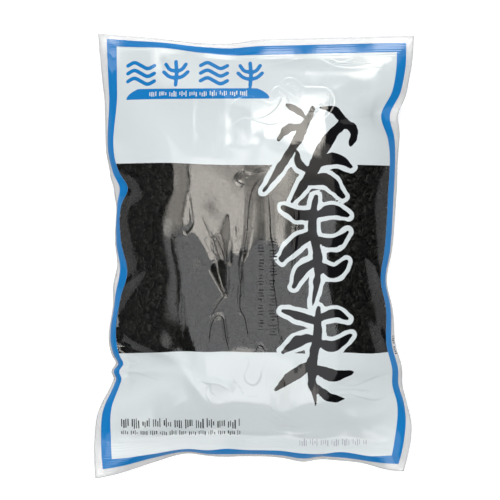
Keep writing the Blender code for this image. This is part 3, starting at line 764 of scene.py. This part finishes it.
def add_value(mesh, name, values):
    """Gives the mesh a float attribute with a value for each vertex."""
    attribute = mesh.attributes.new(name, "FLOAT", "POINT")
    attribute.data.foreach_set("value", np.ascontiguousarray(values, dtype=np.float32).ravel())


def stroke_edge(x, y, points, widths):
    """The signed distance from a brush stroke: its half width swells from its start and thins to its end."""
    away, along, _ = distance_to_path(x, y, smooth_path(points, 12))
    start, middle, end = widths
    swell = start + (end - start) * along + (middle - (start + end) / 2) * np.sin(along * math.pi)
    return away - MM * swell


def painted_sprigs(x, y):
    """The signed distance from the nearest stroke of the sprigs, with a ruffled edge."""
    edge = np.full(x.shape, 1.0)
    for points, widths in SPRIGS:
        edge = np.minimum(edge, stroke_edge(x, y, points, widths))
    return edge + RUFFLE * rumple(x, y, RUFFLE_CELL, RUFFLE_SEED)


def printed_signs(x, y):
    """The signed distance from the blue signs and the band under them."""
    edge = np.full(x.shape, 1.0)
    for i, (middle_x, middle_y) in enumerate(SIGN_PLACES):
        for points in SPRIG_SIGN if i % 2 else WAVE_SIGN:
            away = distance_to_path(x - middle_x * MM, y - middle_y * MM, smooth_path(points, 12))[0]
            edge = np.minimum(edge, away - SIGN_HALF_WIDTH * MM)
    left, right, low, high = [side * MM for side in BAND]
    taper = BAND_TAPER * MM * ((y - low) / (high - low)) ** 2
    band = np.maximum(np.maximum(low - y, y - high), np.maximum(left + taper - x, x - right + taper))
    return np.minimum(edge, band)


def film_lines(length, fine, fine_low, fine_high):
    """Places across a film: close together from fine_low to fine_high, and COARSE apart elsewhere."""
    low = np.linspace(-length / 2, fine_low, int((fine_low + length / 2) / COARSE))
    middle = np.linspace(fine_low, fine_high, int((fine_high - fine_low) / fine))
    high = np.linspace(fine_high, length / 2, int((length / 2 - fine_high) / COARSE))
    return np.concatenate([low[:-1], middle, high[1:]])


def make_front_film():
    """The front film: a fine shell that carries the print's distances and its thin creases."""
    u_lines = film_lines(POUCH_WIDTH, *FINE_ACROSS)
    v_lines = film_lines(POUCH_LENGTH, *FINE_ALONG)
    u, v, points = film_grid(front_bulge, 1, u_lines, v_lines)
    made = shell("pouch_front_film", u, v, points, 1)
    x, y = plan(u, v)
    place, height = thin_creases(x, y)
    carried = (
        ("sprig_edge", painted_sprigs(x, y) / MM),
        ("sign_edge", printed_signs(x, y) / MM),
        ("crease_place", place),
        ("crease_height", height),
    )
    for name, values in carried:
        add_value(made.data, name, np.concatenate([values.ravel(), values.ravel()]))
    return made


def make_back_film():
    """The back film, plainer and less wrinkled, pressed flat underneath."""
    u_lines = np.linspace(-POUCH_WIDTH / 2, POUCH_WIDTH / 2, BACK_COLUMNS)
    v_lines = np.linspace(-POUCH_LENGTH / 2, POUCH_LENGTH / 2, BACK_ROWS)
    u, v, points = film_grid(back_bulge, -1, u_lines, v_lines)
    return shell("pouch_back_film", u, v, points, -1)


def film_height(u, v):
    """The height of the front film's inner side."""
    return seam_height(u, v) + SEAL_GAP / 2 + front_bulge(u, v)


def floor_height(u, v):
    """The height of the back film's inner side."""
    return seam_height(u, v) - SEAL_GAP / 2 - back_bulge(u, v)


def heap_grid():
    """The heap's plan: u, v and the share of the way out, with one row for each direction from its middle.

    It is a rounded rectangle: each direction's vector times the greater of its two parts to a power.
    """
    turn = np.linspace(0, 2 * math.pi, HEAP_STEPS + 1)[:-1]
    reach = np.concatenate([[0.0], np.linspace(0.02, 1, HEAP_RINGS - 1) ** 0.9])
    reach, turn = np.meshgrid(reach, turn)
    flat_u, flat_v = np.cos(turn), np.sin(turn)
    square = np.maximum(np.abs(flat_u), np.abs(flat_v)) ** -HEAP_SQUARENESS
    u = reach * flat_u * square * HEAP_WIDTH / 2
    v = reach * flat_v * square * (HEAP_TOP - HEAP_BOTTOM) / 2 + (HEAP_TOP + HEAP_BOTTOM) / 2
    return u, v, reach


def make_heap():
    """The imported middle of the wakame: a lumpy sheet above and one below, joined at their rims."""
    u, v, reach = heap_grid()
    high, low = film_height(u, v), floor_height(u, v)
    depth = np.minimum(CORE_DEPTH, CORE_SHARE * (high - low))
    lumps = sum(share * rumple(u, v, cell, seed) for share, cell, seed in HEAP_LUMPS)
    upper = high - depth + depth * HEAP_LUMPINESS * lumps
    lower = low + np.minimum(HEAP_CLEARANCE, CORE_SHARE * (high - low))
    middle, close = (upper + lower) / 2, rise(reach, HEAP_CLOSING, 1.0)
    x, y = plan(u, v)
    places = [
        np.stack([x + OFFSET_X, y + OFFSET_Y, sheet + (middle - sheet) * close], axis=-1).reshape(-1, 3)
        for sheet in (upper, lower)
    ]
    corner = np.arange(u.size).reshape(u.shape)
    after = np.roll(corner, -1, axis=0)
    faces = np.stack([corner[:, :-1], corner[:, 1:], after[:, 1:], after[:, :-1]], axis=-1).reshape(-1, 4)
    faces = np.concatenate([faces, faces[:, ::-1] + u.size])
    made = mesh_object("wakame_heap", np.concatenate(places), faces)
    weld(made, 0.001 * MM)
    return made


def weld(made, distance):
    """Joins the points of a mesh that lie in one place and turns its faces outwards."""
    shape = bmesh.new()
    shape.from_mesh(made.data)
    bmesh.ops.remove_doubles(shape, verts=shape.verts, dist=distance)
    bmesh.ops.dissolve_degenerate(shape, edges=shape.edges, dist=distance)
    bmesh.ops.recalc_face_normals(shape, faces=shape.faces)
    shape.to_mesh(made.data)
    shape.free()
    made.data.shade_smooth()


def column(draw, low, high):
    """A random number for each flake, as a column."""
    return draw.uniform(low, high, FLAKE_COUNT)[:, None]


def flake_strips(draw):
    """Curled strips as u, v and height from each flake's middle: a row of stations with six corners each.

    Along a strip's length a goes from -1 to 1. Its middle line bends in the film's plane and curls out of
    it as a parabola, and its cross-section turns about that line.
    """
    half_length, half_width = column(draw, *FLAKE_LENGTH) / 2, column(draw, *FLAKE_WIDTH) / 2
    a = np.linspace(-1, 1, FLAKE_STATIONS)[None, :]
    heading = column(draw, 0, 2 * math.pi) + column(draw, -FLAKE_BEND, FLAKE_BEND) * a
    step = half_length * (a[0, 1] - a[0, 0])
    run_u = np.cumsum(np.cos(heading) * step, axis=1)
    run_v = np.cumsum(np.sin(heading) * step, axis=1)
    run_u, run_v = run_u - run_u.mean(axis=1, keepdims=True), run_v - run_v.mean(axis=1, keepdims=True)
    curl, tilt = column(draw, *FLAKE_CURL) * half_length, column(draw, -FLAKE_TILT, FLAKE_TILT) * half_length
    line = curl * (0.5 - a**2) + tilt * a
    roll = column(draw, 0, 2 * math.pi) + column(draw, -FLAKE_TWIST, FLAKE_TWIST) * a
    ragged = draw.uniform(*FLAKE_RAGGEDNESS, (FLAKE_COUNT, FLAKE_STATIONS))
    width = half_width * np.sqrt(np.clip(1 + FLAKE_BLUNTNESS - a**2, FLAKE_BLUNTNESS, 1)) * ragged
    corners = []
    for across, up in FLAKE_SECTION:
        lift = up * FLAKE_THICKNESS + FLAKE_CUP * width * across**2
        side = across * width * np.cos(roll) - lift * np.sin(roll)
        high = across * width * np.sin(roll) * FLAKE_FLATNESS + lift * np.cos(roll)
        corners.append((run_u - side * np.sin(heading), run_v + side * np.cos(heading), line + high))
    return [np.stack(part, axis=-1) for part in zip(*corners)]


def under_film(u, v, up, depth):
    """The places of points that are up above flakes' middles, which are at a depth below the front film.

    What would come through the film is pressed under it, as a rounded corner: the square root of b^2 + c^2
    less c, where b is how far below the film the point is and c is FLAKE_PRESS.
    """
    half = POUCH_WIDTH / 2 - SIDE_SEAL - 1 * MM
    u = np.clip(u, -half, half)
    below = np.sqrt(np.maximum(depth - up, 0) ** 2 + FLAKE_PRESS**2) - FLAKE_PRESS
    below = FILM_CLEARANCE + below + FLAKE_THICKNESS * 0.5 * (up < depth)
    ceiling = film_height(u, v)
    room = np.maximum(ceiling - floor_height(u, v), 1 * MM)
    x, y = plan(u, v)
    z = ceiling - np.minimum(below, 0.8 * room)
    return np.stack([x + OFFSET_X, y + OFFSET_Y, z], axis=-1).reshape(-1, 3)


def flake_faces():
    """The faces of the closed strips: their sides, and two at each end."""
    corner = np.arange(FLAKE_COUNT * FLAKE_STATIONS * 6).reshape(FLAKE_COUNT, FLAKE_STATIONS, 6)
    after = np.roll(corner, -1, axis=2)
    tube = np.stack([corner[:, :-1], after[:, :-1], after[:, 1:], corner[:, 1:]], axis=-1).reshape(-1, 4)
    first, last = corner[:, 0], corner[:, -1]
    ends = [first[:, [0, 5, 4, 1]], first[:, [1, 4, 3, 2]], last[:, [1, 4, 5, 0]], last[:, [2, 3, 4, 1]]]
    return np.concatenate([tube, *ends])


def make_flakes(name, seed, deepest):
    """A layer of curled flakes of dried wakame under the window, each a closed strip of a few faces."""
    draw = np.random.default_rng(seed)
    low_u, high_u, low_v, high_v = FLAKE_SPREAD
    middle_u, middle_v = column(draw, low_u, high_u)[..., None], column(draw, low_v, high_v)[..., None]
    u, v, up = flake_strips(draw)
    depth = column(draw, FLAKE_LEAST_DEPTH, deepest)[..., None]
    made = mesh_object(name, under_film(middle_u + u, middle_v + v, up, depth), flake_faces())
    add_value(made.data, "shade", np.repeat(draw.uniform(0, 1, FLAKE_COUNT), FLAKE_STATIONS * 6))
    return made


class Nodes:
    """The node tree of a material or a light, with short ways to add the nodes that are used here."""

    def __init__(self, owner):
        owner.use_nodes = True
        self.owner, self.tree = owner, owner.node_tree
        self.tree.nodes.clear()

    def put(self, socket, value):
        if isinstance(value, bpy.types.NodeSocket):
            self.tree.links.new(value, socket)
        else:
            socket.default_value = value

    def add(self, kind, inputs=(), **settings):
        """Adds a node, with values or links for its inputs by name or number, and gives back its outputs."""
        node = self.tree.nodes.new("ShaderNode" + kind)
        for setting, value in settings.items():
            setattr(node, setting, value)
        for name, value in dict(inputs).items():
            self.put(node.inputs[name], value)
        return node.outputs

    def math(self, operation, *values):
        return self.add("Math", enumerate(values), operation=operation)[0]

    def product(self, first, *others):
        for other in others:
            first = self.math("MULTIPLY", first, other)
        return first

    def less(self, value, taken):
        return self.math("SUBTRACT", value, taken)

    def most(self, first, *others):
        for other in others:
            first = self.math("MAXIMUM", first, other)
        return first

    def mix(self, share, first, second):
        return self.add("Mix", {"Factor": share, "A": first, "B": second}, data_type="RGBA")["Result"]

    def value(self, name):
        return self.add("Attribute", attribute_name=name)["Fac"]

    def vector(self, x, y):
        return self.add("CombineXYZ", {"X": x, "Y": y})[0]

    def noise(self, where, scale, detail):
        return self.add("TexNoise", {"Vector": where, "Scale": scale, "Detail": detail})["Fac"]

    def bump(self, height, strength, distance):
        return self.add("Bump", {"Strength": strength, "Distance": distance, "Height": height})[0]

    def shader(self, kind, **values):
        return self.add(kind, {name.replace("_", " "): value for name, value in values.items()})[0]

    def blend(self, share, first, second):
        return self.add("MixShader", {0: share, 1: first, 2: second})[0]

    def finish(self, surface, output="OutputMaterial"):
        self.add(output, {"Surface": surface})
        return self.owner

    def step(self, value, start, end):
        """A smooth step that is 0 where the value is at start or beyond it, and 1 at end."""
        inputs = {"Value": value, "From Min": start, "From Max": end}
        return self.add("MapRange", inputs, interpolation_type="SMOOTHSTEP")["Result"]

    def inside(self, edge):
        """1 where the distance is below 0 and 0 where it is above, over a soft edge in the same unit."""
        return self.step(edge, EDGE_SOFTNESS, -EDGE_SOFTNESS)

    def place(self, uv_map):
        """The two coordinates of one of the film's own UV maps, in millimetres."""
        parts = self.add("SeparateXYZ", {0: self.add("UVMap", uv_map=uv_map)[0]})
        return [self.product(self.less(part, 0.5), UV_SPAN / MM) for part in parts[:2]]

    def edge_inset(self, u, v):
        """How far the point is in from the film's nearest edge, in millimetres."""
        side = self.less(POUCH_WIDTH / MM / 2, self.math("ABSOLUTE", u))
        end = self.less(POUCH_LENGTH / MM / 2, self.math("ABSOLUTE", v))
        return self.math("MINIMUM", side, end)

    def beyond(self, value, low, high):
        """How far the value is outside the range from low to high, negative inside it."""
        return self.less(self.math("ABSOLUTE", self.less(value, (low + high) / 2)), (high - low) / 2)

    def rectangle(self, u, v, low_u, high_u, low_v, high_v):
        """The signed distance from a rectangle's edges, negative inside it."""
        return self.most(self.beyond(u, low_u, high_u), self.beyond(v, low_v, high_v))

    def ticks(self, u, v, place, pitch, seed, width):
        """A row of short ticks of uneven height and width in a rectangle, in groups of four, as a mask.

        Each tick starts at a whole number of pitches. Three random numbers give its width, top and base.
        """
        low_u, high_u, low_v, high_v = place
        cell = self.math("DIVIDE", self.less(u, low_u), pitch)
        key = self.math("ADD", self.math("FLOOR", cell), seed)
        random = self.add("TexWhiteNoise", {"W": key}, noise_dimensions="1D")["Color"]
        wide, top, base = self.add("SeparateColor", {0: random})
        wide = self.math("LESS_THAN", self.math("FRACT", cell), self.math("MULTIPLY_ADD", wide, 0.3, width))
        group = self.math("LESS_THAN", self.math("FRACT", self.math("DIVIDE", cell, 5.0)), 0.8)
        top = self.less(high_v, self.product(top, 0.4 * (high_v - low_v)))
        base = self.math("ADD", low_v, self.product(base, 0.3 * (high_v - low_v)))
        tall = self.product(self.math("LESS_THAN", v, top), self.math("GREATER_THAN", v, base))
        inside = self.inside(self.rectangle(u, v, low_u, high_u, low_v, high_v))
        return self.product(inside, group, wide, tall)


def new_finish(name):
    """The nodes of a new material."""
    return Nodes(bpy.data.materials.new(name))


def film_surface(nodes, ink, colour, bumps):
    """Clear glossy film, with ink behind it where ink is 1. Its gloss grows as the fifth power of facing."""
    facing = nodes.add("LayerWeight")["Facing"]
    gloss = nodes.math("MULTIPLY_ADD", nodes.math("POWER", facing, 5.0), 0.95, FILM_GLOSS)
    shine = nodes.shader("BsdfGlossy", Color=(1, 1, 1, 1), Roughness=FILM_ROUGHNESS, Normal=bumps)
    clear = nodes.blend(gloss, nodes.shader("BsdfTransparent", Color=CLEAR_TINT), shine)
    printed = nodes.shader(
        "BsdfPrincipled",
        Base_Color=colour,
        Roughness=0.5,
        Specular_IOR_Level=0.0,
        Coat_Weight=1.0,
        Coat_Roughness=FILM_ROUGHNESS,
        Coat_IOR=1.5,
        Normal=bumps,
        Coat_Normal=bumps,
    )
    return nodes.blend(ink, clear, printed)


def window_mask(nodes, u, v, sprig_edge):
    """1 where the film is clear: in the window, but not on the sprigs or their outline."""
    half = POUCH_WIDTH / MM / 2 - (MARGIN + BLUE_LINE) / MM
    window = nodes.rectangle(u, v, -half, half, WINDOW_BOTTOM / MM, WINDOW_TOP / MM)
    outlined = nodes.less(sprig_edge, MOTIF_OUTLINE / MM)
    return nodes.product(nodes.inside(window), nodes.inside(nodes.product(outlined, -1.0)))


def front_film_finish():
    """The front film's print and gloss."""
    nodes = new_finish("front_film_finish")
    (u, v), (x, y) = nodes.place("flat"), nodes.place("plan")
    inset = nodes.edge_inset(u, v)
    sprig_edge = nodes.value("sprig_edge")
    upright = nodes.most(*(nodes.ticks(y, x, *marks) for marks in UPRIGHT_MARKS))
    edge_marks = nodes.ticks(v, u, *EDGE_MARKS)
    inside_margin = nodes.inside(nodes.less(MARGIN / MM, inset))
    printed = nodes.product(inside_margin, nodes.less(1.0, window_mask(nodes, u, v, sprig_edge)))
    haze = nodes.product(nodes.less(1.0, inside_margin), HAZE_SHARE)
    ink = nodes.most(printed, haze, nodes.product(upright, UPRIGHT_STRENGTH), edge_marks)
    dark = nodes.most(
        nodes.ticks(x, y, *LARGE_MARKS), nodes.ticks(x, y, *SMALL_MARKS), upright, edge_marks,
        nodes.inside(sprig_edge),
    )
    blue_line = nodes.inside(nodes.less(inset, (MARGIN + BLUE_LINE) / MM))
    band_marks = nodes.ticks(x, y, *BAND_MARKS)
    signs = nodes.product(nodes.inside(nodes.value("sign_edge")), nodes.less(1.0, band_marks))
    colour = nodes.mix(nodes.most(blue_line, signs), WHITE_INK, BLUE_INK)
    colour = nodes.mix(nodes.ticks(x, y, *SEAL_MARKS), colour, FAINT_INK)
    colour = nodes.mix(inside_margin, MARGIN_HAZE, colour)
    colour = nodes.mix(dark, colour, BLACK_INK)
    creases = nodes.product(nodes.value("crease_height"), crease_profile(nodes, nodes.value("crease_place")))
    return nodes.finish(film_surface(nodes, ink, colour, film_bumps(nodes, u, v, creases)))


def crease_profile(nodes, place):
    """The profile tanh(3 s) / 3 * exp(-0.31 s^2) of a thin crease, s half widths from its path."""
    step = nodes.math("TANH", nodes.product(place, 3.0))
    return nodes.product(step, 0.333, nodes.math("EXPONENT", nodes.product(place, place, -0.31)))


def film_bumps(nodes, u, v, creases=0.0):
    """The seals' crimped lines, a sine along v, and faint dents, upright streaks and creases, as a normal."""
    middle, half = (BOTTOM_SEAL - TOP_SEAL) / 2, (POUCH_LENGTH - TOP_SEAL - BOTTOM_SEAL) / 2
    seal = nodes.math("GREATER_THAN", nodes.math("ABSOLUTE", nodes.less(v, middle / MM)), half / MM)
    crimps = nodes.product(nodes.math("SINE", nodes.product(v, 2 * math.pi / CRIMP_PITCH)), seal)
    height = nodes.math("ADD", creases, nodes.product(crimps, CRIMP_HEIGHT))
    for stretch, (scale, detail, high) in ((1.0, DENTS), (STREAK_STRETCH, STREAKS)):
        noise = nodes.noise(nodes.vector(u, nodes.product(v, stretch)), scale, detail)
        height = nodes.math("ADD", height, nodes.product(noise, high))
    return nodes.bump(height, 1.0, 1 * MM)


def back_film_finish():
    """The back film: white inside its clear margin and blue line."""
    nodes = new_finish("back_film_finish")
    u, v = nodes.place("flat")
    inset = nodes.edge_inset(u, v)
    inside_margin = nodes.inside(nodes.less(MARGIN / MM, inset))
    ink = nodes.most(inside_margin, HAZE_SHARE)
    blue_line = nodes.inside(nodes.less(inset, (MARGIN + BLUE_LINE) / MM))
    colour = nodes.mix(inside_margin, MARGIN_HAZE, nodes.mix(blue_line, WHITE_INK, BLUE_INK))
    return nodes.finish(film_surface(nodes, ink, colour, film_bumps(nodes, u, v)))


def wakame_finish(name, dark, light):
    """Dried wakame: nearly black, with an olive tint that varies from flake to flake."""
    nodes = new_finish(name)
    place = nodes.add("TexCoord")["Object"]
    grain = nodes.noise(place, *GRAIN)
    share = nodes.product(nodes.math("ADD", nodes.value("shade"), nodes.noise(place, *PATCHES)), 0.5)
    share = nodes.product(nodes.math("POWER", share, 2.0), nodes.math("MULTIPLY_ADD", grain, 0.8, 0.6))
    leaf = nodes.shader(
        "BsdfPrincipled",
        Base_Color=nodes.mix(share, dark, light),
        Roughness=nodes.math("MULTIPLY_ADD", grain, 0.25, 0.4),
        Specular_IOR_Level=0.25,
        Normal=nodes.bump(grain, 0.5, 0.3 * MM),
    )
    return nodes.finish(leaf)


def dress(made, material, node=None):
    """Gives a piece its finish, lets it move with the pouch, and hides the imported part of the node it
    stands for.
    """
    made.data.materials.append(material)
    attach(made, "root")
    if node:
        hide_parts(node)


def make_floor():
    """A plain pale floor, just under the pouch. The glossy film doesn't show it."""
    corners = np.array([[-0.5, -0.5], [0.5, -0.5], [0.5, 0.5], [-0.5, 0.5]]) * FLOOR_SIZE
    floor = mesh_object("floor", np.insert(corners, 2, -FLOOR_DROP, axis=1), np.array([[0, 1, 2, 3]]))
    nodes = new_finish("floor_finish")
    diffuse = nodes.shader("BsdfDiffuse", Color=FLOOR_COLOUR)
    glow = nodes.shader("Emission", Color=(1, 1, 1, 1), Strength=FLOOR_GLOW)
    floor.data.materials.append(nodes.finish(nodes.add("AddShader", {0: diffuse, 1: glow})[0]))
    floor.visible_glossy = False


def fade_light(data, left, right, low, high):
    """Lets a softbox's light fade in over the given shares of its width and length, as smooth steps."""
    nodes = Nodes(data)
    across, along, _ = nodes.add("SeparateXYZ", {0: nodes.add("NewGeometry")["Parametric"]})
    steps = ((across, 0, left), (across, 1, 1 - right), (along, 0, low), (along, 1, 1 - high))
    strength = 1.0
    for place, start, end in steps:
        if start != end:
            strength = nodes.product(nodes.step(place, start, end), strength)
    nodes.finish(nodes.shader("Emission", Strength=strength), "OutputLight")


def softbox(name, middle, towards, size, radiance, colour, shows, fades):
    """A rectangular light of an even radiance that faces a point, or straight down, with fading sides."""
    data = bpy.data.lights.new(name, "AREA")
    data.shape = "RECTANGLE"
    data.size, data.size_y = size
    data.energy = radiance * math.pi * size[0] * size[1]
    data.color = colour
    if any(fades):
        fade_light(data, *fades)
    lamp = bpy.data.objects.new(name, data)
    lamp.location = middle
    facing = Vector(towards or (middle[0], middle[1], 0)) - Vector(middle)
    lamp.rotation_euler = facing.to_track_quat("-Z", "Y").to_euler()
    lamp.visible_diffuse, lamp.visible_glossy = shows
    lamp.visible_transmission = False
    lamp.visible_camera = False
    bpy.context.scene.collection.objects.link(lamp)


def make_camera():
    """A camera that looks straight down, with the photograph's 500 pixels across 375 mm at the seams."""
    data = bpy.data.cameras.new("camera")
    data.sensor_width = SENSOR
    data.lens = SENSOR * (CAMERA_HEIGHT - SEAM_HEIGHT) / (PICTURE * PIXEL)
    camera = bpy.data.objects.new("camera", data)
    across, up = VIEW_MIDDLE
    camera.location = (across * PIXEL + OFFSET_X, up * PIXEL + OFFSET_Y, CAMERA_HEIGHT)
    bpy.context.scene.collection.objects.link(camera)
    bpy.context.scene.camera = camera


def make_lights():
    """Soft light: bright boxes above the pouch's upper half, a dimmer one below it, and a dark room."""
    for box in SOFTBOXES:
        softbox(*box)
    world = bpy.data.worlds.new("room")
    world.use_nodes = True
    background = world.node_tree.nodes["Background"]
    background.inputs["Color"].default_value, background.inputs["Strength"].default_value = ROOM_LIGHT
    bpy.context.scene.world = world
    bpy.context.scene.view_settings.view_transform = "Standard"


make_camera()
make_lights()
make_floor()
front = make_front_film()
dress(front, front_film_finish(), "front_film")
back = make_back_film()
dress(back, back_film_finish(), "back_film")
flake_finish = wakame_finish("wakame_finish", *FLAKE_COLOURS)
heap = make_heap()
dress(heap, wakame_finish("heap_finish", *HEAP_COLOURS), "wakame")
for layer, (seed, deepest) in enumerate(FLAKE_LAYERS):
    flakes = make_flakes(f"wakame_flakes_{layer}", seed, deepest)
    dress(flakes, flake_finish)
